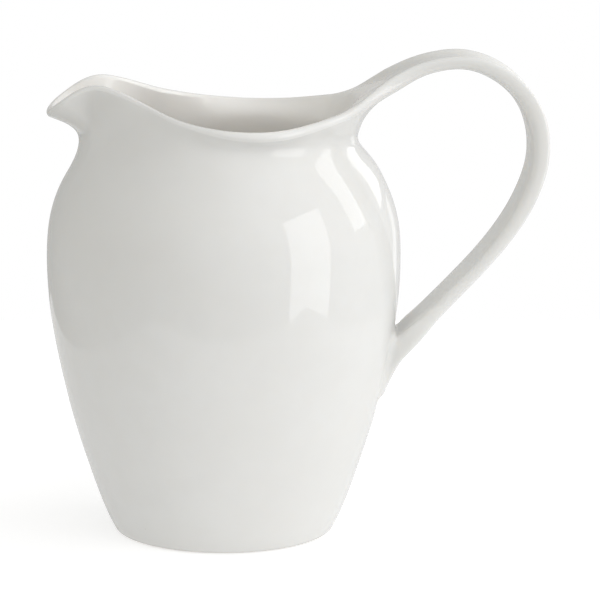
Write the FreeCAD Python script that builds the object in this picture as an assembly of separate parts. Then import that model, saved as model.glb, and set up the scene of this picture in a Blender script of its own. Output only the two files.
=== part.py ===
import FreeCAD, Part
import math
import os

# A one-piece porcelain milk jug: a rounded belly on a small foot, a waisted
# neck, a pulled spout on -X and one broad channelled strap handle on +X.
# Millimetres. The origin is the centre of the foot on the table, +Z is up and
# the jug is mirror symmetric about Y = 0.

# ---- driving dimensions ----------------------------------------------------
# outer radius of the turned body at each height (foot to shoulder)
BODY_Z = [0.0, 6.9, 16.6, 30.5, 44.3, 58.2, 72.0, 85.9, 97.0, 101.4]
BODY_R = [30.4, 33.5, 37.0, 41.4, 44.8, 47.45, 48.75, 48.25, 45.0, 42.5]
FOOT_ROUND = 1.7            # rounding of the foot's outer edge
FOOT_RING_OUT = 28.9        # flat ring that stands on the table
FOOT_RING_IN = 25.6
RECESS_UP = 1.3             # shallow recess inside the foot ring
RECESS_R = 24.4

WALL = 2.9                  # wall of the body
FLOOR_Z = 4.6               # inner floor above the table
FLOOR_FLAT_R = 14.0         # flat middle of the inner floor
FLOOR_CORNER = 11.0         # inner rounding between floor and wall
LIP = 2.8                   # thickness of the rounded lip

# waist under the rim: polar angle from the handle, radius, height
NECK = [(0, 36.7, 110.2), (30, 37.3, 111.1), (60, 38.2, 112.1), (90, 38.5, 112.3),
        (128, 36.7, 111.9), (155, 37.3, 110.5), (180, 39.95, 110.5)]
# shoulder just under the waist: polar angle, radius, height
SHOULDER = [(0, 40.2, 104.9), (60, 40.5, 105.5), (90, 40.6, 105.5), (130, 40.1, 105.3),
            (180, 40.8, 104.9)]

# crest of the rim from the handle side round to the tip of the spout
RIM = [(38.0, 0.0, 121.4), (37.4, 10.0, 121.1), (34.3, 19.3, 120.2),
       (29.1, 25.9, 118.8), (23.4, 31.4, 117.6), (16.0, 36.6, 116.5),
       (8.0, 39.0, 116.2), (0.0, 38.7, 116.7), (-8.3, 35.5, 117.9),
       (-14.5, 31.0, 119.4), (-20.4, 24.1, 121.5), (-26.0, 19.0, 123.7),
       (-31.0, 15.2, 125.3), (-35.2, 13.3, 125.7), (-39.3, 12.9, 124.4),
       (-42.8, 12.9, 122.2), (-45.6, 11.0, 119.9), (-46.8, 6.0, 118.9),
       (-47.1, 0.0, 118.7)]

# handle: middle of the strap in the plane Y = 0, its thickness and half width
HANDLE = [(46.8, 126.2, 4.3, 12.6), (52.8, 129.3, 3.9, 11.1), (59.1, 131.1, 3.7, 10.7),
          (65.7, 131.5, 3.8, 10.8), (72.1, 129.8, 4.2, 10.9), (77.8, 126.4, 4.6, 10.9),
          (82.3, 121.6, 4.8, 10.9), (85.2, 115.8, 4.9, 10.9), (86.4, 109.4, 4.7, 10.9),
          (86.0, 102.8, 4.4, 10.9), (84.1, 96.5, 4.2, 10.9), (81.3, 90.5, 4.0, 10.9),
          (77.8, 84.9, 3.7, 10.9), (73.8, 79.6, 3.5, 10.8), (69.5, 74.6, 3.4, 10.7),
          (65.0, 69.8, 3.4, 10.6), (60.4, 65.0, 3.5, 10.5), (55.9, 60.3, 3.8, 10.4),
          (52.3, 56.3, 4.3, 10.3), (49.4, 52.6, 4.7, 10.2)]
HANDLE_TAIL = [(46.9, 48.8, 4.6, 10.0), (45.0, 44.8, 4.0, 9.7), (43.6, 41.2, 3.0, 9.4),
               (42.2, 38.4, 2.0, 9.0), (40.9, 36.2, 1.4, 8.6)]
CHANNEL = 1.9               # depth of the channel in the outer face
UNDER_CROWN = 0.3           # crown of the inner face
EDGE_ROUND = 1.0            # rounding of the strap's outer edges
# the strap starts inside the rounded lip: share of the way out, half width,
# thickness
ROOT_ROWS = [(0.00, 18.6, 2.2), (0.34, 17.0, 3.0), (0.68, 14.7, 3.7)]
ROOT_DOWN = 1.5             # middle of the root below the crest of the rim

COLUMNS = 72                # points round the body
SECTION = 28                # points round the strap


# ---- curves -----------------------------------------------------------------
def cubic(xs, ys):
    """Natural cubic spline through the points, as a function."""
    n = len(xs)
    h = [xs[i + 1] - xs[i] for i in range(n - 1)]
    c, d = [0.0] * n, [0.0] * n
    for i in range(1, n - 1):
        rhs = 6.0 * ((ys[i + 1] - ys[i]) / h[i] - (ys[i] - ys[i - 1]) / h[i - 1])
        m = 2.0 * (h[i - 1] + h[i]) - h[i - 1] * c[i - 1]
        c[i] = h[i] / m
        d[i] = (rhs - h[i - 1] * d[i - 1]) / m
    m2 = [0.0] * n
    for i in range(n - 2, 0, -1):
        m2[i] = d[i] - c[i] * m2[i + 1]

    def at(x):
        i = 0
        while i < n - 2 and x > xs[i + 1]:
            i += 1
        a, b = xs[i + 1] - x, x - xs[i]
        return ((m2[i] * a ** 3 + m2[i + 1] * b ** 3) / (6.0 * h[i])
                + (ys[i] / h[i] - m2[i] * h[i] / 6.0) * a
                + (ys[i + 1] / h[i] - m2[i + 1] * h[i] / 6.0) * b)
    return at


def path(points):
    """Cubic spline through points by chord length, with its length."""
    s = [0.0]
    for p, q in zip(points, points[1:]):
        s.append(s[-1] + math.dist(p[:3], q[:3]) if len(p) > 2 else s[-1] + math.dist(p, q))
    parts = [cubic(s, [p[k] for p in points]) for k in range(len(points[0]))]
    return (lambda t: tuple(f(t) for f in parts)), s


def mirrored(table):
    """Even function of the polar angle, given from 0 to 180 degrees."""
    xs = [-t[0] for t in table[3:0:-1]] + [t[0] for t in table] + [360 - t[0] for t in table[-2:-5:-1]]
    out = []
    for k in range(1, len(table[0])):
        ys = [t[k] for t in table[3:0:-1]] + [t[k] for t in table] + [t[k] for t in table[-2:-5:-1]]
        out.append(cubic(xs, ys))
    return out


body_r = cubic(BODY_Z, BODY_R)
neck_r, neck_z = mirrored(NECK)
shoulder_r, shoulder_z = mirrored(SHOULDER)
_rim = [(x, -y, z) for x, y, z in RIM[3:0:-1]] + RIM + [(x, -y, z) for x, y, z in RIM[-2:-5:-1]]
_rim_at, _rim_s = path(_rim)
RIM_START, RIM_END = _rim_s[3], _rim_s[-4]


def rim(u):
    """Crest of the rim; u runs from 0 at the handle to 1 at the spout's tip."""
    if u < 0:
        x, y, z = rim(-u)
        return (x, -y, z)
    if u > 1:
        x, y, z = rim(2 - u)
        return (x, -y, z)
    return _rim_at(RIM_START + u * (RIM_END - RIM_START))


def smooth(a, b, x):
    t = min(1.0, max(0.0, (x - a) / (b - a)))
    return t * t * (3 - 2 * t)


UP_ROWS = [0.0, 0.16, 0.31, 0.45, 0.58, 0.69, 0.79, 0.88, 0.95, 1.0]
LOW_Z = [5.0, 11.0, 18.0, 26.0, 34.5, 43.0, 51.5, 60.0, 68.0, 75.5]
TOP_OF_TURNING = 81.0       # above this height the meridians lean into the rim


def meridian(u):
    """Outer surface from above the foot to the lip, for one column."""
    low = math.pi * u
    rx, ry, rz = rim(u)
    e = 1e-3
    ax, ay, _ = rim(u - e)
    bx, by, _ = rim(u + e)
    tl = math.hypot(bx - ax, by - ay)
    nx, ny = (by - ay) / tl, -(bx - ax) / tl
    high = math.pi if u > 0.999 else math.atan2(ry, rx)
    deg = math.degrees

    def angle(z):
        return low + (high - low) * smooth(76.0, 121.0, z)
    pts = []
    for z in (70.0, TOP_OF_TURNING, 90.0, 98.0):
        a = angle(z)
        pts.append((body_r(z) * math.cos(a), body_r(z) * math.sin(a), z))
    a = angle(104.9)
    sr, sz = shoulder_r(deg(a)), shoulder_z(deg(a))
    pts.append((sr * math.cos(a), sr * math.sin(a), sz))
    a = angle(110.0)
    nr, nz = neck_r(deg(a)), neck_z(deg(a))
    pts.append((nr * math.cos(a), nr * math.sin(a), nz))
    # the lip is a round bead under the crest: the wall ends on its outer side,
    # where its own direction leaves it
    tilt = 0.0
    for _ in range(4):
        c, q = math.cos(tilt), math.sin(tilt)
        top = (rx + nx * c * LIP / 2, ry + ny * c * LIP / 2, rz - LIP / 2 - q * LIP / 2)
        at, s = path(pts + [top])
        e = sub(at(s[-1]), at(s[-1] - 0.4))
        tilt = math.atan2(e[0] * nx + e[1] * ny, e[2])
    rows = []
    for z in LOW_Z:
        rows.append((body_r(z) * math.cos(low), body_r(z) * math.sin(low), z))
    for t in UP_ROWS:
        rows.append(at(s[1] + t * (s[-1] - s[1])))
    return rows


def sub(a, b):
    return (a[0] - b[0], a[1] - b[1], a[2] - b[2])


def add(a, b, k=1.0):
    return (a[0] + b[0] * k, a[1] + b[1] * k, a[2] + b[2] * k)


def cross(a, b):
    return (a[1] * b[2] - a[2] * b[1], a[2] * b[0] - a[0] * b[2], a[0] * b[1] - a[1] * b[0])


def dot(a, b):
    return a[0] * b[0] + a[1] * b[1] + a[2] * b[2]


def unit(a):
    l = math.sqrt(dot(a, a))
    return (a[0] / l, a[1] / l, a[2] / l)


def ring_gain(n):
    """A uniform cubic spline shrinks a circle of n poles by this much."""
    return 1.0 / (2.0 / 3.0 + math.cos(2 * math.pi / n) / 3.0)


def swelled(net, rows):
    """Poles moved out in the given rows, so that the spline passes close to the points."""
    out = [list(row) for row in net]
    for j in rows:
        for i in range(len(net[j])):
            bend = add(add(net[j - 1][i], net[j + 1][i]), net[j][i], -2.0)
            out[j][i] = add(net[j][i], bend, -1.0 / 6.0)
    return out


def body_net(n):
    """Rows of poles, foot to lip to inner floor, n poles in each row."""
    outer = []
    for i in range(n):
        u = 2.0 * i / n
        if u <= 1:
            outer.append(meridian(u))
        else:
            outer.append([(x, -y, z) for x, y, z in meridian(2 - u)])
    rows_n = len(outer[0])
    normal = []
    for i in range(n):
        col = []
        for j in range(rows_n):
            across = sub(outer[(i + 1) % n][j], outer[i - 1][j])
            along = sub(outer[i][min(j + 1, rows_n - 1)], outer[i][max(j - 1, 0)])
            col.append(unit(cross(across, along)))
        normal.append(col)
    outer = [list(col) for col in zip(*swelled(list(zip(*outer)), range(1, rows_n - 2)))]
    net = []
    g = ring_gain(n)

    def ring(r, z):
        net.append([(g * r * math.cos(2 * math.pi * i / n), g * r * math.sin(2 * math.pi * i / n), z)
                    for i in range(n)])
    # foot: the flat ring's edge, the rounded edge, the start of the wall
    r0 = body_r(FOOT_ROUND)
    ring(FOOT_RING_OUT, 0.0)
    ring(0.5 * FOOT_RING_OUT + 0.5 * (r0 - 0.2), 0.0)
    ring(r0 - 0.25, 0.15)
    ring(r0 + 0.1, 1.3)
    ring(body_r(2.8), 2.8)
    for j in range(rows_n):
        row = []
        for i in range(n):
            x, y, z = outer[i][j]
            k = g if z < 95 else 1.0 + (g - 1.0)
            row.append((x * k, y * k, z))
        net.append(row)
    # lip: half a circle from the outer to the inner face
    for step in range(1, 6):
        phi = math.pi * step / 6.0
        row = []
        for i in range(n):
            nrm = normal[i][-1]
            up = unit(sub(outer[i][-1], outer[i][-2]))
            up = unit(add(up, nrm, -dot(up, nrm)))
            mid = add(outer[i][-1], nrm, -LIP / 2)
            p = add(mid, nrm, 1.06 * LIP / 2 * math.cos(phi))
            row.append(add(p, up, 1.06 * LIP / 2 * math.sin(phi)))
        net.append(row)
    # inner wall: the outer wall moved in by its thickness
    for j in range(rows_n - 1, 1, -1):
        z = outer[0][j][2]
        k = smooth(0.0, 6.0, rows_n - 1 - j)
        w = LIP * (1 - k) + WALL * k
        net.append([add(outer[i][j], normal[i][j], -w) for i in range(n)])
    # inner floor, with its rounded corner
    r_in = body_r(FLOOR_Z + FLOOR_CORNER) - WALL - 0.2
    for a in (10, 30, 50, 70, 90):
        t = math.radians(a)
        ring(r_in - FLOOR_CORNER * (1 - math.cos(t)), FLOOR_Z + FLOOR_CORNER * (1 - math.sin(t)))
    ring(0.5 * (r_in - FLOOR_CORNER) + 0.5 * FLOOR_FLAT_R, FLOOR_Z)
    ring(FLOOR_FLAT_R, FLOOR_Z)
    return net


def spline_face(net):
    """Cubic spline face: each row of the net is closed, the first and last rows are edges."""
    rows, n = len(net), len(net[0])
    poles = [[FreeCAD.Vector(*net[j][(i + n // 4) % n]) for j in range(rows)] for i in range(n)]
    s = Part.BSplineSurface()
    spans = rows - 3
    s.buildFromPolesMultsKnots(
        poles, [1] * (n + 1), [4] + [1] * (spans - 1) + [4],
        [float(k) for k in range(n + 1)], [float(k) for k in range(spans + 1)],
        True, False, 3, 3)
    return s.toShape()


def end_wire(face, z_near):
    """The face's closed boundary edge nearest to a height."""
    best = None
    for e in face.Edges:
        if e.isClosed():
            d = abs(e.CenterOfMass.z - z_near)
            if best is None or d < best[0]:
                best = (d, e)
    return Part.Wire([best[1]])


def circle_wire(r, z):
    return Part.Wire([Part.makeCircle(r, FreeCAD.Vector(0, 0, z))])


def solid_of(faces):
    shell = Part.Shell(faces) if len(faces) > 1 else faces[0]
    if not shell.isClosed():
        sewn = Part.makeShell(faces)
        sewn.sewShape()
        shell = sewn
    solid = Part.Solid(shell)
    if solid.Volume < 0:
        solid.reverse()
    return solid


def make_body():
    net = body_net(COLUMNS)
    skin = spline_face(net)
    foot_edge = end_wire(skin, 0.0)
    floor_edge = end_wire(skin, FLOOR_Z)
    ring_face = Part.makeFace([foot_edge, circle_wire(FOOT_RING_IN, 0.0)], "Part::FaceMakerBullseye")
    floor_face = Part.Face(floor_edge)
    recess = Part.makeRuledSurface(circle_wire(FOOT_RING_IN, 0.0), circle_wire(RECESS_R, RECESS_UP))
    base = Part.Face(circle_wire(RECESS_R, RECESS_UP))
    return solid_of([skin, ring_face] + recess.Faces + [base, floor_face])


def handle_net():
    """Rows of poles along the strap; each row is one closed channel section."""
    stations = HANDLE + HANDLE_TAIL
    at, s = path([(x, z) for x, z, _, _ in stations])
    thick = cubic(s, [t for _, _, t, _ in stations])
    half = cubic(s, [w for _, _, _, w in stations])
    tail_s = s[len(HANDLE) - 1]
    count = 44
    rows = []
    for i in range(count + 1):
        q = s[-1] * i / count
        x, z = at(q)
        x1, z1 = at(max(0.0, q - 0.05))
        x2, z2 = at(min(s[-1], q + 0.05))
        tx, tz = x2 - x1, z2 - z1
        l = math.hypot(tx, tz)
        ox, oz = -tz / l, tx / l          # outward: away from the gap
        fade = 1 - smooth(tail_s - 4.0, s[-1] - 1.5, q)
        rows.append(section((x, z), (ox, oz), thick(q), half(q), CHANNEL * fade, UNDER_CROWN * fade))
    # root: the strap widens into the lip, and follows it round
    first = rows[0]
    root = []
    for f, w, t in ROOT_ROWS:
        row = []
        base = section((0.0, 0.0), (0.0, 1.0), t, w, CHANNEL * f, UNDER_CROWN * f)
        for (dx, y, dz), p in zip(base, first):
            rx, rz = rim_at_y(y)
            row.append((rx * (1 - f) + p[0] * f, y, (rz - ROOT_DOWN + dz) * (1 - f) + p[2] * f))
        root.append(row)
    rows = swelled(rows, range(1, count - 4))
    return root + rows


def rim_at_y(y):
    """X and height of the rim's crest beside the handle, at a distance from its middle plane."""
    lo, hi = 0.0, 0.3
    for _ in range(40):
        mid = 0.5 * (lo + hi)
        if rim(mid)[1] < abs(y):
            lo = mid
        else:
            hi = mid
    x, _, z = rim(lo)
    return x, z


def section(centre, out, thick, half, channel, crown):
    """Closed section: rounded lips on both edges, a channel outside, a slight crown inside."""
    cx, cz = centre
    ox, oz = out
    pts = []
    r = thick / 2
    e = min(EDGE_ROUND, 0.8 * r)
    crest = half - e
    under = half - min(1.5, 0.8 * r)
    m = SECTION // 2 - 3                  # points across each face
    for k in range(m):                    # outer face, from -Y to +Y
        y = -crest + 2 * crest * k / (m - 1)
        pts.append((y, r - channel * (1 - (abs(y) / crest) ** 3)))
    side = [(half - 0.15 * e, r - 0.55 * e), (half + 0.05, 0.0), (half - 0.1, -0.6 * r)]
    pts += side                           # edge on +Y
    for k in range(m):                    # inner face, from +Y to -Y
        y = under - 2 * under * k / (m - 1)
        pts.append((y, -r - crown * (1 - (y / under) ** 2)))
    pts += [(-y, d) for y, d in reversed(side)]
    return [(cx + ox * d, y, cz + oz * d) for y, d in pts]


def make_handle():
    net = handle_net()
    skin = spline_face(net)
    edges = [e for e in skin.Edges if e.isClosed()]
    caps = []
    for e in edges:
        w = Part.Wire([e])
        try:
            caps.append(Part.Face(w))
        except Exception:
            caps.append(Part.makeFilledFace([e]))
    return solid_of([skin] + caps)


def main():
    os.makedirs("parts", exist_ok=True)
    body = make_body()
    handle = make_handle()
    jug = body.fuse(handle)
    if jug.ShapeType != "Solid":
        jug = jug.Solids[0] if len(jug.Solids) == 1 else jug
    print("body", body.isValid(), round(body.Volume), "handle", handle.isValid(), round(handle.Volume))
    print("jug", jug.ShapeType, jug.isValid(), len(jug.Solids), round(jug.Volume), jug.BoundBox)
    jug.exportStep("parts/jug.step")


main()
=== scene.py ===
import math

import bmesh
import bpy
import numpy as np
from mathutils import Matrix, Vector


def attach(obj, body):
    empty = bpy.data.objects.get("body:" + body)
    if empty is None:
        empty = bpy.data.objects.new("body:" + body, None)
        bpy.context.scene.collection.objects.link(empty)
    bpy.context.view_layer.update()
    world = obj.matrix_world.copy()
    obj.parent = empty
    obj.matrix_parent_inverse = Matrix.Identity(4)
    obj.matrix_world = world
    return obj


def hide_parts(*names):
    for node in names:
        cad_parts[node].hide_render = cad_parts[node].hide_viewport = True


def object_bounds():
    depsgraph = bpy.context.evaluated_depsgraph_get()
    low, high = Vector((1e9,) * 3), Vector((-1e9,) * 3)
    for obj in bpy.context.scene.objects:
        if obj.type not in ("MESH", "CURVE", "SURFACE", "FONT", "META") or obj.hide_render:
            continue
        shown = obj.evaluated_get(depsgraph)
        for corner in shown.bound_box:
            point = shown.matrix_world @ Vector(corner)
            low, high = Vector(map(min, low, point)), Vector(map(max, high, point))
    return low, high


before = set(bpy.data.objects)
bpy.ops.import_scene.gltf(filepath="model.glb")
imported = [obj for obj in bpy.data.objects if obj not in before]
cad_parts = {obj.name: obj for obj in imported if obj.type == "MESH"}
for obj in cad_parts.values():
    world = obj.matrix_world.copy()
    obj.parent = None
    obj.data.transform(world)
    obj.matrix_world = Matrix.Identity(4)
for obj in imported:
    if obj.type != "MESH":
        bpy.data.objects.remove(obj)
CAD_BOX = [list(map(float, c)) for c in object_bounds()]
MM = 0.001

# ---------------------------------------------------------------- dimensions
# One closed mesh of the glazed jug, in millimetres, in the CAD frame: origin at
# the middle of the foot, +Z up, spout on -X, handle on +X, mirror plane Y = 0.
BODY_Z = [0.0, 6.9, 16.6, 30.5, 44.3, 58.2, 72.0, 85.9, 97.0, 101.4]
BODY_R = [30.4, 33.5, 37.0, 41.4, 44.8, 47.45, 48.75, 48.25, 45.0, 42.5]
WALL = 2.9
LIP = 2.7
FLOOR_Z = 4.6
NECK = [(0, 36.7, 110.2), (30, 37.3, 111.1), (60, 38.2, 112.1), (90, 38.5, 112.3),
        (128, 36.7, 111.9), (155, 37.3, 110.5), (180, 39.95, 110.5)]
SHOULDER = [(0, 40.2, 104.9), (60, 40.5, 105.5), (90, 40.6, 105.5), (130, 40.1, 105.3),
            (180, 40.8, 104.9)]
RIM = [(38.0, 0.0, 121.4), (37.4, 10.0, 121.1), (34.3, 19.3, 120.2),
       (29.1, 25.9, 118.8), (23.4, 31.4, 117.6), (16.0, 36.6, 116.5),
       (8.0, 39.0, 116.2), (0.0, 38.7, 116.7), (-8.3, 35.5, 117.9),
       (-14.5, 31.0, 119.4), (-20.4, 24.1, 121.5), (-26.0, 19.0, 123.7),
       (-31.0, 15.2, 125.3), (-35.2, 13.3, 125.7), (-39.3, 12.9, 124.4),
       (-42.8, 12.9, 122.2), (-45.6, 11.0, 119.9), (-46.8, 6.0, 118.9),
       (-47.1, 0.0, 118.7)]
# strap: middle line in Y = 0, thickness, half width
HANDLE = [(46.8, 126.2, 4.3, 12.6), (52.8, 129.3, 3.9, 11.1), (59.1, 131.1, 3.7, 10.7),
          (65.7, 131.5, 3.8, 10.8), (72.1, 129.8, 4.2, 10.9), (77.8, 126.4, 4.6, 10.9),
          (82.3, 121.6, 4.8, 10.9), (85.2, 115.8, 4.9, 10.9), (86.4, 109.4, 4.7, 10.9),
          (86.0, 102.8, 4.4, 10.9), (84.1, 96.5, 4.2, 10.9), (81.3, 90.5, 4.0, 10.9),
          (77.8, 84.9, 3.7, 10.9), (73.8, 79.6, 3.5, 10.8), (69.5, 74.6, 3.4, 10.7),
          (65.0, 69.8, 3.4, 10.6), (60.4, 65.0, 3.5, 10.5), (57.6, 62.1, 3.7, 10.4)]
CHANNEL = 1.8

N = 72                 # columns round the body
K = 7                  # the strap leaves between columns -K and K
L = 7                  # points over the lip, between its two faces


# -------------------------------------------------------------------- curves
def cubic(xs, ys):
    """Natural cubic spline through the points, as a function of an array or number."""
    xs, ys = np.asarray(xs, float), np.asarray(ys, float)
    n = len(xs)
    h = np.diff(xs)
    a = np.zeros((n, n))
    b = np.zeros((n,) + ys.shape[1:])
    a[0, 0] = a[-1, -1] = 1.0
    for i in range(1, n - 1):
        a[i, i - 1:i + 2] = h[i - 1], 2 * (h[i - 1] + h[i]), h[i]
        b[i] = 6 * ((ys[i + 1] - ys[i]) / h[i] - (ys[i] - ys[i - 1]) / h[i - 1])
    m = np.linalg.solve(a, b)

    def at(x):
        x = np.asarray(x, float)
        i = np.clip(np.searchsorted(xs, x) - 1, 0, n - 2)
        hi = h[i]
        p, q = xs[i + 1] - x, x - xs[i]
        if ys.ndim > 1:
            hi, p, q = hi[..., None], p[..., None], q[..., None]
        return ((m[i] * p ** 3 + m[i + 1] * q ** 3) / (6 * hi)
                + (ys[i] / hi - m[i] * hi / 6) * p + (ys[i + 1] / hi - m[i + 1] * hi / 6) * q)
    return at


def path(points, dims=3):
    """Spline through points by chord length; the first dims numbers are the place."""
    pts = np.asarray(points, float)
    s = np.concatenate([[0], np.cumsum(np.linalg.norm(np.diff(pts[:, :dims], axis=0), axis=1))])
    return cubic(s, pts), s


def mirrored(table):
    t = np.asarray(table, float)
    pre, post = t[3:0:-1].copy(), t[-2:-5:-1].copy()
    pre[:, 0] *= -1
    post[:, 0] = 360 - post[:, 0]
    full = np.vstack([pre, t, post])
    return cubic(full[:, 0], full[:, 1:])


def smooth(a, b, x):
    t = np.clip((x - a) / (b - a), 0, 1)
    return t * t * (3 - 2 * t)


def unit(v):
    v = np.asarray(v, float)
    return v / np.linalg.norm(v, axis=-1, keepdims=True)


body_r = cubic(BODY_Z, BODY_R)
neck = mirrored(NECK)
shoulder = mirrored(SHOULDER)
_r = np.array(RIM)
_flip = np.array([1, -1, 1])
_rim_at, _rim_s = path(np.vstack([_r[3:0:-1] * _flip, _r, _r[-2:-5:-1] * _flip]))
RIM0, RIM1 = _rim_s[3], _rim_s[-4]


def rim(u):
    """Crest of the rim; u is 0 at the handle and 1 at the tip of the spout."""
    return _rim_at(RIM0 + u * (RIM1 - RIM0))


def fan_angle(i):
    """Column angles low on the body, in degrees: close together behind the strap's tail."""
    steps = [1.6] * K + [2.3, 3.2, 4.3, 5.3]
    rest = N // 2 - len(steps)
    steps += [(180 - sum(steps)) / rest] * rest
    return sum(steps[:i])


def low_angle(i, z):
    even = 360.0 / N * i
    k = smooth(6.0, 30.0, z) * (1 - smooth(60.0, 100.0, z))
    return math.radians(even * (1 - k) + fan_angle(i) * k)


HOLE_LOW, HOLE_HIGH = 37.3, 54.6
LOW_ROWS = [3.4, 7.0, 12.0, 18.0, 24.0, 29.6, 34.2]
HOLE_ROWS = [HOLE_LOW + (HOLE_HIGH - HOLE_LOW) * j / (L + 1) for j in range(L + 2)]
MID_ROWS = [59.5, 66.0, 73.0]
TOP_ROWS = [0.0, 0.13, 0.25, 0.37, 0.48, 0.58, 0.67, 0.75, 0.82, 0.885, 0.945, 1.0]


def lean(z):
    return smooth(76.0, 121.0, z)


def meridian(i):
    """Outer face of column i: rows from the foot to the lip, and the lip's frame."""
    u = i / (N / 2)
    crest = rim(u)
    d = rim(u + 1e-3) - rim(u - 1e-3)
    out = unit([d[1], -d[0], 0.0])
    crest_angle = math.atan2(crest[1], crest[0]) if i < N // 2 else math.pi
    stations = []
    for z in (68.0, 79.0, 90.0, 98.0):
        a = low_angle(i, z) * (1 - lean(z)) + crest_angle * lean(z)
        r = float(body_r(z))
        stations.append([r * math.cos(a), r * math.sin(a), z])
    for z0, f in ((104.9, shoulder), (110.0, neck)):
        a = low_angle(i, z0) * (1 - lean(z0)) + crest_angle * lean(z0)
        r, z = f(math.degrees(a))
        stations.append([r * math.cos(a), r * math.sin(a), z])
    tilt = 0.0
    for _ in range(5):
        n = out * math.cos(tilt) + np.array([0, 0, -math.sin(tilt)])
        mid = crest - np.array([0, 0, LIP / 2])
        top = mid + n * LIP / 2
        at, s = path(stations + [list(top)])
        e = at(s[-1]) - at(s[-1] - 0.4)
        tilt = math.atan2(float(e[:2] @ out[:2]), e[2])
    up = unit(np.cross(np.cross(n, [0, 0, 1]), n))
    inner_top = mid - n * LIP / 2
    if i < K:                       # under the strap the wall runs on into it
        f = 1 - (i / K) ** 2
        a = crest_angle
        c, q = math.cos(a), math.sin(a)
        low_top = np.array([38.1 * c, 38.1 * q, 114.6])
        top = top * (1 - f) + low_top * f
        in_top = np.array([36.2 * c, 36.2 * q, 120.7])
        inner_top = inner_top * (1 - f) + in_top * f
        at, s = path(stations + [list(top)])
    rows = []
    for z in LOW_ROWS + HOLE_ROWS + MID_ROWS:
        a = low_angle(i, z)
        rows.append([float(body_r(z)) * math.cos(a), float(body_r(z)) * math.sin(a), z])
    for t in TOP_ROWS:
        rows.append(list(at(s[1] + t * (s[-1] - s[1]))))
    # inner face: the stations moved in by the wall, then the lip's inner edge
    inner = []
    for j, q in enumerate(s[:-1]):
        e = unit(at(min(q + 0.3, s[-1])) - at(max(q - 0.3, 0)))
        p = at(q)
        side = unit(np.cross(np.cross(e, [p[0], p[1], 0]), e))
        inner.append(list(p - unit(side) * WALL))
    inner_at, inner_s = path(inner + [list(inner_top)])
    lip = []
    for l in range(1, L + 1):
        phi = math.pi * l / (L + 1)
        lip.append(list(mid + n * LIP / 2 * math.cos(phi) + up * LIP / 2 * math.sin(phi)))
    return rows, lip, (inner_at, inner_s)


def build_targets():
    """Every point the finished surface should pass through, as named grids."""
    outer, lips, inner = {}, {}, {}
    for i in range(0, N // 2 + 1):
        rows, lip, (iat, isn) = meridian(i)
        irows = [list(iat(isn[-1] + t * (isn[0] - isn[-1]))) for t in
                 (0.0, 0.07, 0.16, 0.28, 0.43, 0.62, 0.83)]
        for z in (60.0, 47.0, 34.0, 22.0):
            a = math.radians(360.0 / N * i)
            r = float(body_r(z)) - WALL - 0.15
            irows.append([r * math.cos(a), r * math.sin(a), z])
        outer[i], lips[i], inner[i] = rows, lip, irows
        if 0 < i < N // 2:
            m = N - i
            outer[m], lips[m], inner[m] = ([[x, -y, z] for x, y, z in g] for g in (rows, lip, irows))
    return outer, lips, inner


class Cage:
    def __init__(self):
        self.v, self.f, self.free, self.inside = [], [], [], []

    def add(self, p, fixed=False, inside=0.0):
        self.v.append([float(c) for c in p])
        self.free.append(not fixed)
        self.inside.append(float(inside))
        return len(self.v) - 1

    def quad(self, a, b, c, d):
        self.f.append((a, b, c, d))


def ring_points(r, z):
    return [[r * math.cos(2 * math.pi * i / N), r * math.sin(2 * math.pi * i / N), z] for i in range(N)]


def strap_section(x, z, ox, oz, thick, half):
    """Closed section in the order underside, +Y edge, channel, -Y edge."""
    r = thick / 2
    pts = []
    deep = r + 0.3
    for i in range(-K, K + 1):
        a = abs(i) / K
        y = half * (1.07 * a - 0.17 * a ** 3)
        pts.append((math.copysign(y, i), -deep * (1 - (y / half) ** 3.4) ** (1 / 3.4)))
    edge = [(half - 0.38, -0.47 * r), (half - 0.02, 0.08 * r), (half - 0.12, r - 0.5), (half - 0.8, r),
            (half - 1.65, r - 0.18), (half - 2.5, r - 0.68), (half - 3.5, r - 1.1)]
    inner = half - 4.8
    pts += edge
    for i in range(K, -K - 1, -1):
        y = inner * i / K
        pts.append((y, r - CHANNEL + (CHANNEL - 1.38) * abs(y / inner) ** 2.2))
    pts += [(-y, d) for y, d in reversed(edge)]
    return np.array([[x + ox * d, y, z + oz * d] for y, d in pts])


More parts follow.
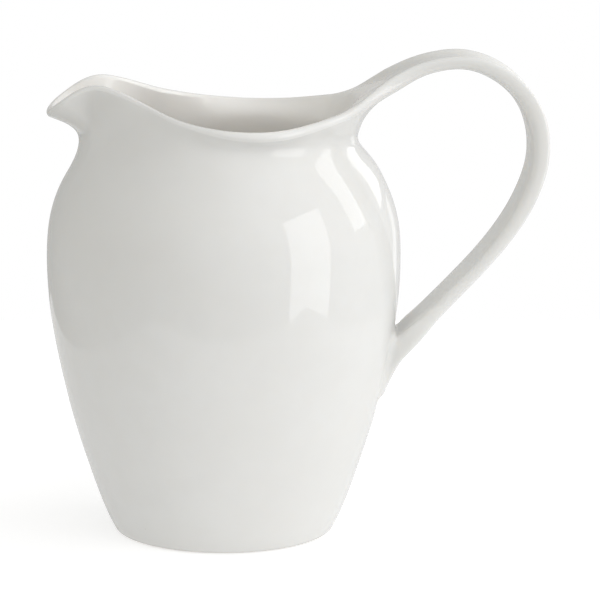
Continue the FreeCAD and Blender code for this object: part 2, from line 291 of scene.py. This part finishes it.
def build_cage():
    outer, lips, inner = build_targets()
    cage = Cage()
    rows = len(outer[0])
    o = [[cage.add(outer[i][j]) for i in range(N)] for j in range(rows)]
    lip = [{i: cage.add(lips[i][l], inside=smooth(0.45, 0.9, (l + 1) / (L + 1))) for i in range(K, N - K + 1)}
           for l in range(L)]
    n_in = len(inner[0])
    q = [[cage.add(inner[i][j], inside=1) for i in range(N)] for j in range(n_in)]

    def band(lower, upper, cols=range(N)):
        for i in cols:
            j = (i + 1) % N
            cage.quad(lower[i], lower[j], upper[j], upper[i])

    hole0 = len(LOW_ROWS)
    hole1 = hole0 + L + 1
    for j in range(rows - 1):
        cols = range(K, N - K) if hole0 <= j < hole1 else range(N)
        band(o[j], o[j + 1], cols)
    over = [o[-1]] + lip + [q[0]]
    for a, b in zip(over, over[1:]):
        band(a, b, range(K, N - K))
    for a, b in zip(q, q[1:]):
        band(a, b)
    # inner floor
    r_in = float(body_r(16.0)) - WALL - 0.4
    prev = q[-1]
    for a in (12, 45, 78):
        t = math.radians(a)
        ring = [cage.add(p, inside=1) for p in ring_points(r_in - 11.0 * (1 - math.cos(t)), FLOOR_Z + 11.0 * (1 - math.sin(t)))]
        band(prev, ring)
        prev = ring
    for r, z in ((18.0, FLOOR_Z - 0.02), (9.0, FLOOR_Z - 0.02)):
        ring = [cage.add(p, True, 1) for p in ring_points(r, z)]
        band(prev, ring)
        prev = ring
    cage.f.append(tuple(prev))
    # foot: rounded edge, flat ring, shallow recess
    prev = o[0]
    for r, z in ((31.0, 1.5), (30.6, 0.75), (30.1, 0.25), (29.4, 0.03), (28.6, 0.0), (26.4, 0.0),
                 (25.7, 0.12), (25.2, 0.55), (24.6, 1.05), (23.6, 1.3)):
        ring = [cage.add(p) for p in ring_points(r, z)]
        band(ring, prev)
        prev = ring
    for r in (20.0, 10.0):
        ring = [cage.add(p, True) for p in ring_points(r, 1.3)]
        band(ring, prev)
        prev = ring
    cage.f.append(tuple(reversed(prev)))

    # ---- strap
    cols = [c % N for c in range(-K, K + 1)]
    first = ([o[-1][c] for c in cols] + [lip[l][K] for l in range(L)]
             + [q[0][c] for c in reversed(cols)] + [lip[l][N - K] for l in reversed(range(L))])
    last = ([o[hole1][c] for c in cols] + [o[hole1 - 1 - l][K] for l in range(L)]
            + [o[hole0][c] for c in reversed(cols)] + [o[hole1 - 1 - l][N - K] for l in reversed(range(L))])
    V = lambda ids: np.array([cage.v[k] for k in ids])
    at, s = path(HANDLE, 2)
    length = s[-1]
    count = 24

    def station(t):
        x, z, thick, half = at(t)
        e = at(min(t + 0.05, length)) - at(max(t - 0.05, 0))
        tx, tz = unit(e[:2])
        return strap_section(x, z, -tz, tx, thick, half), np.array([tx, 0, tz])

    rings = []
    # root: every line leaves the wall, the lip or the inside and bends into the strap
    start, t0 = station(0.0)
    b = V(first)
    below = V([o[-3][c] for c in cols] + [lip[l][K + 1] for l in range(L)]
              + [q[2][c] for c in reversed(cols)] + [lip[l][N - K - 1] for l in reversed(range(L))])
    along = np.array([o[-1][K + 1], o[-1][N - K - 1], q[0][K + 1], q[0][N - K - 1]])
    along = b[[2 * K, 0, 2 * K + 1 + L, 4 * K + 1 + L]] - V(along)
    leave = unit(b - below)
    for i in range(-K, K + 1):
        g = (abs(i) / K) ** 2
        side = 0 if i > 0 else 1
        k = i + K
        leave[k] = unit(leave[k] * (1 - g) + unit(along[side]) * g)
        k = 2 * K + 1 + L + K - i
        roll = unit(leave[k] + np.array([0.75, 0, 0]))
        leave[k] = unit(roll * (1 - g) + unit(along[2 + side]) * g)
    gap = np.linalg.norm(start - b, axis=1, keepdims=True)
    arrive = np.tile(t0, (len(b), 1))
    arrive[:, 1] -= 0.3 * start[:, 1] / 12.6
    for t in (0.17, 0.34, 0.51, 0.68, 0.85):
        h00, h10 = 2 * t ** 3 - 3 * t ** 2 + 1, t ** 3 - 2 * t ** 2 + t
        h01, h11 = -2 * t ** 3 + 3 * t ** 2, t ** 3 - t ** 2
        rings.append(h00 * b + h10 * leave * gap * 0.95 + h01 * start + h11 * arrive * gap * 0.95)
    for k in range(count + 1):
        rings.append(station(length * k / count)[0])
    # tail: the rings fan round the crotch down to the tongue on the wall
    end, t1 = station(length)
    c = V(last)
    u_at, u_s = path([(56.25, 63.35), (52.6, 59.7), (49.7, 56.9), (48.0, 55.4), (47.05, 54.6)], 2)
    v_at, v_s = path([(58.9, 60.75), (56.1, 57.35), (51.5, 51.9), (47.8, 46.3), (45.5, 41.2), (44.45, 38.7)], 2)
    low = 2 * K + 1 + L                   # first channel point
    n_sec = len(c)
    u0, v0 = u_at(0.0), v_at(0.0)
    share0 = ((end[:, [0, 2]] - u0) @ (v0 - u0)) / float((v0 - u0) @ (v0 - u0))
    share1 = np.zeros(n_sec)
    for k in range(n_sec):
        if low <= k <= low + 2 * K:
            share1[k] = 1.0
        elif k > 2 * K:
            share1[k] = min(k - 2 * K, n_sec - k) / (L + 1)
    wall_in = c[:, 0] - np.array([float(body_r(z)) for z in c[:, 2]])
    for t in (0.17, 0.34, 0.51, 0.67, 0.81, 0.93):
        u, v = u_at(u_s[-1] * t), v_at(v_s[-1] * min(1.0, t / 0.93))
        w = float(smooth(0.0, 1.0, t))
        share = (share0 * (1 - w) + share1 * w) * (1 + 1.1 * w * (1 - w))
        xz = u + share[:, None] * (v - u)
        y = end[:, 1] * (1 - w) + c[:, 1] * w
        y *= 1 - 0.09 * float(smooth(0.35, 0.93, t))
        off = np.clip(np.abs(np.arange(n_sec) - (low + K)) / K, 0, 1.2)
        on_face = off <= 1.0
        y[on_face] *= 1 - 0.04 * w
        xz[on_face, 1] += 0.45 * w ** 2 * off[on_face] ** 6
        rings.append(np.stack([xz[:, 0] + wall_in * w * 0.8, y, xz[:, 1]], axis=1))
    made = []
    for j, ring in enumerate(rings):
        hollow = 1 - smooth(0, 6, j)
        made.append([])
        for k, p in enumerate(ring):
            depth = 1 - smooth(0, 4, max(low - k, k - low - 2 * K, 0))
            made[-1].append(cage.add(p, inside=hollow * depth))
    ids = [first] + made + [last]
    n = len(first)
    for a, b2 in zip(ids, ids[1:]):
        for k in range(n):
            m = (k + 1) % n
            cage.quad(a[k], a[m], b2[m], b2[k])

    # fillets: at the two ends of the strap the points settle between their neighbours
    held = {lip[L // 2][i] for i in lip[L // 2]}
    for ring in made[:count + 6]:
        held |= {ring[2 * K + 4], ring[n - 4]}
    across = np.linspace(-17.5, 17.5, 29)
    settle(cage, [((41.0, y, 116.5), 8.5) for y in across]
           + [((36.5, y, 121.5), 8.0) for y in (-19, 19)]
           + [((41.5, y, 124.0), 6.5) for y in (-13.5, 13.5)], held, 8)
    settle(cage, [((46.5, y, 54.0), 5.5) for y in np.linspace(-9.2, 9.2, 19)], set(), 8)
    settle(cage, [((44.3, y, z), 2.2) for y in (-8, 8) for z in np.linspace(50, 41, 13)]
           + [((44.0, y, 38.3), 2.2) for y in (-8.2, 8.2)], set(), 4)
    return cage


def settle(cage, balls, held, rounds):
    """Moves points inside the balls towards the middle of their neighbours."""
    p = np.array(cage.v)
    e = np.array(sorted({(min(a, b), max(a, b)) for f in cage.f for a, b in zip(f, f[1:] + f[:1])}))
    w = np.zeros(len(p))
    for c, r in balls:
        w = np.maximum(w, 1 - smooth(0.35, 1.0, np.linalg.norm(p - np.array(c), axis=1) / r))
    w[list(held)] = 0
    w[~np.array(cage.free)] = 0
    val = np.zeros(len(p))
    np.add.at(val, e[:, 0], 1)
    np.add.at(val, e[:, 1], 1)
    for _ in range(rounds):
        m = np.zeros_like(p)
        np.add.at(m, e[:, 0], p[e[:, 1]])
        np.add.at(m, e[:, 1], p[e[:, 0]])
        p += 0.5 * w[:, None] * (m / np.maximum(val, 1)[:, None] - p)
    cage.v = p.tolist()


def fit_cage(cage, rounds=14):
    """Moves the cage so that its smooth surface passes through the points it was built on."""
    target = np.array(cage.v)
    p = target.copy()
    quads = np.array([f for f in cage.f if len(f) == 4])
    free = np.array(cage.free)
    for f in cage.f:
        if len(f) != 4:
            free[list(f)] = False
    nv = len(p)
    pairs = set()
    for f in cage.f:
        for a, b in zip(f, f[1:] + f[:1]):
            pairs.add((min(a, b), max(a, b)))
    e = np.array(sorted(pairs))
    val = np.zeros(nv)
    np.add.at(val, e[:, 0], 1)
    np.add.at(val, e[:, 1], 1)
    for _ in range(rounds):
        es = np.zeros_like(p)
        np.add.at(es, e[:, 0], p[e[:, 1]])
        np.add.at(es, e[:, 1], p[e[:, 0]])
        ds = np.zeros_like(p)
        for k in range(4):
            np.add.at(ds, quads[:, k], p[quads[:, (k + 2) % 4]])
        v = np.maximum(val, 1)[:, None]
        lim = (v * v * p + 4 * es + ds) / (v * (v + 5))
        step = (target - lim) * free[:, None]
        p += step
    return p


def make_jug():
    cage = build_cage()
    pts = fit_cage(cage)
    # the form is fitted into the box of the solid it stands for
    used = pts[sorted({k for f in cage.f for k in f})]
    lo, hi = used.min(axis=0), used.max(axis=0)
    box_lo, box_hi = (np.array(c) / MM for c in CAD_BOX)
    pts = box_lo + 0.002 + (pts - lo) * (box_hi - box_lo - 0.004) / (hi - lo)
    mesh = bpy.data.meshes.new("jug_glazed")
    mesh.from_pydata([tuple(c * MM for c in p) for p in pts], [], cage.f)
    mark = mesh.attributes.new("inside", "FLOAT", "POINT")
    mark.data.foreach_set("value", cage.inside)
    bm = bmesh.new()
    bm.from_mesh(mesh)
    # wall points under the strap's tail belong to no face
    bmesh.ops.delete(bm, geom=[v for v in bm.verts if not v.link_faces], context="VERTS")
    bmesh.ops.recalc_face_normals(bm, faces=bm.faces)
    bm.to_mesh(mesh)
    bm.free()
    for poly in mesh.polygons:
        poly.use_smooth = True
    obj = bpy.data.objects.new("jug_glazed", mesh)
    bpy.context.scene.collection.objects.link(obj)
    sub = obj.modifiers.new("smooth_form", "SUBSURF")
    sub.levels = sub.render_levels = 2
    sub.use_limit_surface = True
    return obj


# ------------------------------------------------------------------ materials
class Nodes:
    """Short helpers for building a shader."""

    def __init__(self, tree):
        self.t = tree

    def add(self, kind, **props):
        n = self.t.nodes.new(kind)
        for k, v in props.items():
            setattr(n, k, v)
        return n

    def link(self, a, b):
        self.t.links.new(a, b)

    def put(self, socket, value):
        if isinstance(value, bpy.types.NodeSocket):
            self.link(value, socket)
        else:
            socket.default_value = value

    def math(self, op, a, b=0.0, clamp=False):
        n = self.add("ShaderNodeMath", operation=op, use_clamp=clamp)
        self.put(n.inputs[0], a)
        self.put(n.inputs[1], b)
        return n.outputs[0]

    def ramp(self, x, lo, hi, a=0.0, b=1.0):
        n = self.add("ShaderNodeMapRange", interpolation_type="SMOOTHSTEP")
        for k, v in enumerate((x, lo, hi, a, b)):
            self.put(n.inputs[k], v)
        return n.outputs[0]

    def noise(self, where, scale, detail=3.0, rough=0.5):
        n = self.add("ShaderNodeTexNoise")
        self.link(where, n.inputs["Vector"])
        n.inputs["Scale"].default_value = scale
        n.inputs["Detail"].default_value = detail
        n.inputs["Roughness"].default_value = rough
        return n.outputs["Fac"]

    def mix(self, fac, a, b):
        n = self.add("ShaderNodeMix", data_type="RGBA")
        self.put(n.inputs["Factor"], fac)
        ins = [i for i in n.inputs if i.type == "RGBA"]
        self.put(ins[0], a)
        self.put(ins[1], b)
        return [o for o in n.outputs if o.type == "RGBA"][0]


def glaze():
    """Clear white glaze over fired porcelain; the foot ring is wiped bare."""
    m = bpy.data.materials.new("white_glazed_porcelain")
    m.use_nodes = True
    k = Nodes(m.node_tree)
    bsdf = m.node_tree.nodes["Principled BSDF"]
    place = k.add("ShaderNodeTexCoord").outputs["Object"]
    axes = k.add("ShaderNodeSeparateXYZ")
    k.link(place, axes.inputs[0])
    x, y, z = axes.outputs
    r = k.math("SQRT", k.math("ADD", k.math("MULTIPLY", x, x), k.math("MULTIPLY", y, y)))
    # how far a point belongs to the inside or the strap's channel, from the mesh; it masks the painted light there
    inside = k.add("ShaderNodeAttribute", attribute_name="inside").outputs["Fac"]
    # slow drift of the glaze's thickness, which pools to a warmer, greyer white
    drift = k.ramp(k.noise(place, 22.0, 2.0), 0.30, 0.72)
    fine = k.ramp(k.noise(place, 160.0, 3.0), 0.35, 0.68)
    tone = k.mix(drift, TONE_A, TONE_B)
    tone = k.mix(k.math("MULTIPLY", fine, 0.30), tone, TONE_C)
    # painted light: the inside and the strap's channel get a brighter, warmer white, standing in for light bouncing
    # inside the hollow and through the thin wall
    tone = k.mix(k.math("MULTIPLY", inside, 0.9), tone, TONE_INSIDE_PAINTED_LIGHT)
    # iron specks under the glaze, few and faint
    speck = k.add("ShaderNodeTexVoronoi", feature="F1")
    k.link(place, speck.inputs["Vector"])
    speck.inputs["Scale"].default_value = 95.0
    dots = k.ramp(speck.outputs["Distance"], 0.030, 0.012, 0.0, 1.0)
    pick = k.add("ShaderNodeSeparateColor")
    k.link(speck.outputs["Color"], pick.inputs[0])
    dots = k.math("MULTIPLY", dots, k.ramp(pick.outputs[0], 0.965, 0.975, 0.0, 0.35))
    tone = k.mix(dots, tone, (0.50, 0.46, 0.40, 1))
    # the bare ring: matt and slightly creamy, with a fine grain
    bare = k.math("MULTIPLY", k.ramp(z, 0.00055, 0.00030, 0.0, 1.0), k.ramp(r, 0.0247, 0.0252, 0.0, 1.0))
    grain = k.noise(place, 1500.0, 2.0)
    tone = k.mix(bare, tone, k.mix(grain, (0.70, 0.675, 0.63, 1), (0.80, 0.78, 0.74, 1)))
    k.link(tone, bsdf.inputs["Base Color"])
    gloss = k.ramp(k.noise(place, 48.0, 3.0), 0.3, 0.7, 0.010, 0.030)
    k.link(k.math("ADD", gloss, k.math("MULTIPLY", bare, 0.55)), bsdf.inputs["Roughness"])
    bsdf.inputs["IOR"].default_value = 1.52
    bsdf.inputs["Subsurface Weight"].default_value = 0.3
    bsdf.inputs["Subsurface Radius"].default_value = (1.0, 0.92, 0.82)
    bsdf.inputs["Subsurface Scale"].default_value = 0.004
    # the glaze's surface: a slow orange peel, and the grain of the bare ring
    peel = k.noise(place, 130.0, 1.0, 0.4)
    swell = k.noise(place, 40.0, 1.0, 0.4)
    height = k.math("ADD", k.math("MULTIPLY", peel, 0.10), k.math("MULTIPLY", swell, 0.55))
    height = k.math("ADD", height, k.math("MULTIPLY", k.math("MULTIPLY", grain, bare), 0.9))
    bump = k.add("ShaderNodeBump")
    bump.inputs["Strength"].default_value = 0.22
    bump.inputs["Distance"].default_value = 0.00018
    k.link(height, bump.inputs["Height"])
    k.link(bump.outputs["Normal"], bsdf.inputs["Normal"])
    return m


TONE_A = (0.800, 0.800, 0.785, 1)
TONE_B = (0.785, 0.782, 0.762, 1)
TONE_C = (0.770, 0.765, 0.745, 1)
# brighter, warmer white painted on the inside and the strap's channel as painted light
TONE_INSIDE_PAINTED_LIGHT = (0.940, 0.918, 0.885, 1)


def floor_material():
    """Pale seamless paper under the jug, with its fine tooth, overexposed as in a studio picture."""
    m = bpy.data.materials.new("pale_floor")
    m.use_nodes = True
    k = Nodes(m.node_tree)
    bsdf = m.node_tree.nodes["Principled BSDF"]
    out = m.node_tree.nodes["Material Output"]
    place = k.add("ShaderNodeTexCoord").outputs["Object"]
    k.link(k.mix(k.noise(place, 220.0, 3.0), (0.60, 0.60, 0.60, 1), (0.62, 0.62, 0.62, 1)), bsdf.inputs["Base Color"])
    bsdf.inputs["Roughness"].default_value = 0.9
    bsdf.inputs["Specular IOR Level"].default_value = 0.1
    lift = k.add("ShaderNodeEmission")
    seen = k.add("ShaderNodeLightPath").outputs["Is Camera Ray"]
    k.link(k.math("ADD", k.math("MULTIPLY", seen, FLOOR_LIFT), FLOOR_GLOW), lift.inputs["Strength"])
    both = k.add("ShaderNodeAddShader")
    k.link(bsdf.outputs[0], both.inputs[0])
    k.link(lift.outputs[0], both.inputs[1])
    k.link(both.outputs[0], out.inputs["Surface"])
    return m


FLOOR_LIFT, FLOOR_GLOW = 0.26, 0.32


jug = make_jug()
jug.data.materials.append(glaze())
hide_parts("jug")
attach(jug, "root")

# ---------------------------------------------------------------------- stage
floor_mesh = bpy.data.meshes.new("floor")
edge = [(-0.17, -0.185), (0.225, -0.185), (0.225, 0.30), (-0.17, 0.30)]
floor_mesh.from_pydata([(fx, fy, 0) for fx, fy in edge], [], [tuple(range(len(edge)))])
floor = bpy.data.objects.new("floor", floor_mesh)
bpy.context.scene.collection.objects.link(floor)
floor.data.materials.append(floor_material())
floor.location.z = -0.0002

# --------------------------------------------------------------------- camera
cam_data = bpy.data.cameras.new("camera")
cam = bpy.data.objects.new("camera", cam_data)
bpy.context.scene.collection.objects.link(cam)
cam_data.sensor_width = 36.0
cam_data.lens = 2955.7 / 600 * 36.0
cam_data.clip_end = 50
pitch, yaw = math.radians(10.64), math.atan(75.7 / 2955.7)
cam.matrix_world = (Matrix.Translation((0, -0.8033, 0.21512))
                    @ Matrix.Rotation(math.pi / 2 - pitch, 4, "X") @ Matrix.Rotation(-yaw, 4, "Y"))
bpy.context.scene.camera = cam

# --------------------------------------------------------------------- lights
scene = bpy.context.scene
scene.view_settings.view_transform = "Standard"
world = bpy.data.worlds.new("studio")
scene.world = world
world.use_nodes = True
# brightness of the room in broad lobes: (direction, level)
LOBES = [((1, 0, 0), 0.14), ((0.5, -0.87, 0), 0.37), ((-1, 0, 0), 0.64), ((-0.5, 0.87, 0), 0.17),
         ((0.5, 0.87, 0), 0.66), ((0, 0, -1), 0.08), ((0, -0.71, 0.71), 0.78), ((0.71, 0, 0.71), 0.57)]
BASE = 0.0


def studio_world():
    """A soft room: dim on the left, bright on the right, and plain white behind the jug."""
    k = Nodes(world.node_tree)
    bg = world.node_tree.nodes["Background"]
    out = world.node_tree.nodes["World Output"]
    d = k.add("ShaderNodeTexCoord").outputs["Generated"]
    level = BASE
    for axis, amount in LOBES:
        dot = k.add("ShaderNodeVectorMath", operation="DOT_PRODUCT")
        k.link(d, dot.inputs[0])
        dot.inputs[1].default_value = axis
        lobe = k.math("POWER", k.math("MAXIMUM", dot.outputs["Value"], 0.0), 2.0)
        level = k.math("ADD", k.math("MULTIPLY", lobe, amount), level)
    sides = k.add("ShaderNodeSeparateXYZ")
    k.link(d, sides.inputs[0])
    k.link(k.mix(k.ramp(sides.outputs[0], -0.7, 0.5), (1.0, 0.996, 0.962, 1), (1.0, 1.0, 1.0, 1)), bg.inputs["Color"])
    k.link(level, bg.inputs["Strength"])
    white = k.add("ShaderNodeBackground")
    white.inputs["Color"].default_value = (1, 1, 1, 1)
    white.inputs["Strength"].default_value = 1.0
    seen = k.add("ShaderNodeLightPath").outputs["Is Camera Ray"]
    pick = k.add("ShaderNodeMixShader")
    k.link(seen, pick.inputs[0])
    k.link(bg.outputs[0], pick.inputs[1])
    k.link(white.outputs[0], pick.inputs[2])
    k.link(pick.outputs[0], out.inputs["Surface"])


studio_world()


def softbox(name, azimuth, elevation, size, level, away=1.6, colour=(1, 1, 1), turn=0.0):
    """A rectangular soft light seen from the jug in one direction; level is its brightness."""
    a, e = math.radians(azimuth), math.radians(elevation)
    d = Vector((math.sin(a) * math.cos(e), -math.cos(a) * math.cos(e), math.sin(e)))
    w, h = (2 * away * math.tan(math.radians(t / 2)) for t in size)
    light = bpy.data.lights.new(name, "AREA")
    light.shape = "RECTANGLE"
    light.size, light.size_y = w, h
    light.energy = level * math.pi * w * h
    light.color = colour
    o = bpy.data.objects.new(name, light)
    scene.collection.objects.link(o)
    o.location = Vector((0, 0, 0.08)) + d * away
    o.rotation_euler = (-d).to_track_quat("-Z", "Y").to_euler()
    o.visible_camera = False
    return o


# window-like softboxes on the right, in the order they show on the jug's shoulder
BOXES = [("strip_front", 57.0, 3.5, (29, 51), 1.8), ("strip_side", 107.0, 25.0, (26, 32), 1.55),
         ("strip_back", 139.0, 15.0, (16, 16), 1.3), ("strip_low", 146.0, -5.0, (8, 16), 0.5)]
for spec in BOXES:
    softbox(*spec)

bpy.context.view_layer.update()
